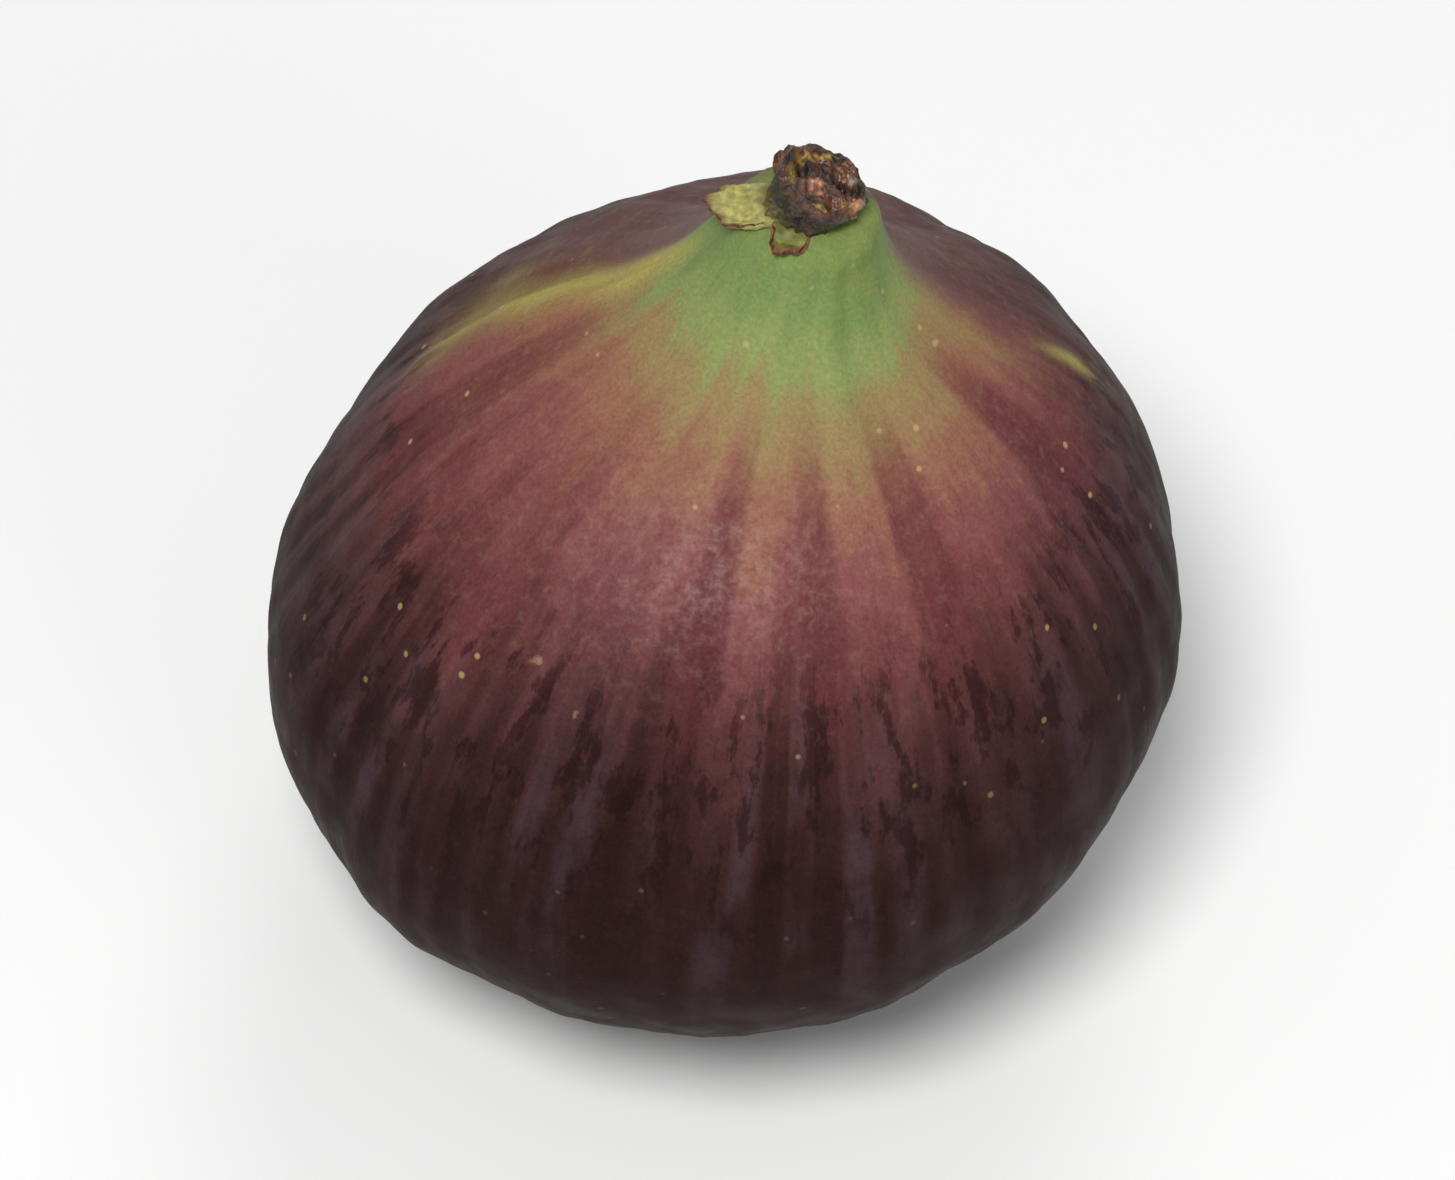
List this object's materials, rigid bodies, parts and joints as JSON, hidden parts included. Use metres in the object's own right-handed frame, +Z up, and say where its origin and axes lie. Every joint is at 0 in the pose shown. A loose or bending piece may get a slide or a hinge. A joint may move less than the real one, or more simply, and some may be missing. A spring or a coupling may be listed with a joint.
{
  "type": "fresh fig",
  "caption": "Whole ripe purple fig with a green neck, dried stalk stub, small bracts at the stalk and a scaled eye, standing on its base.",
  "frame": {"origin": "middle of the flat foot round the eye, on the surface that the fig stands on", "axes": "+Z up from the eye towards the stalk; -Y is the front, which shows the yellow-green streaks of the neck; the neck leans towards +X"},
  "size_m": [0.0558, 0.0562, 0.0644],
  "materials": {
    "fig_skin": "thin waxy fruit skin, purple maroon with a green neck and a pale bloom, semi-matte",
    "dry_stalk": "dried, torn stalk end, dark brown with glossy dried sap",
    "bract": "thin yellow-green flap with a dry brown ragged edge",
    "eye_scales": "dry red-brown scales, matte"
  },
  "bodies": {
    "root": {"fig_fruit": "fig_skin", "stalk_stub": "dry_stalk", "basal_bract_left": "bract", "basal_bract_front": "bract", "basal_bract_back": "bract", "eye_scales": "eye_scales"}
  },
  "joints": []
}
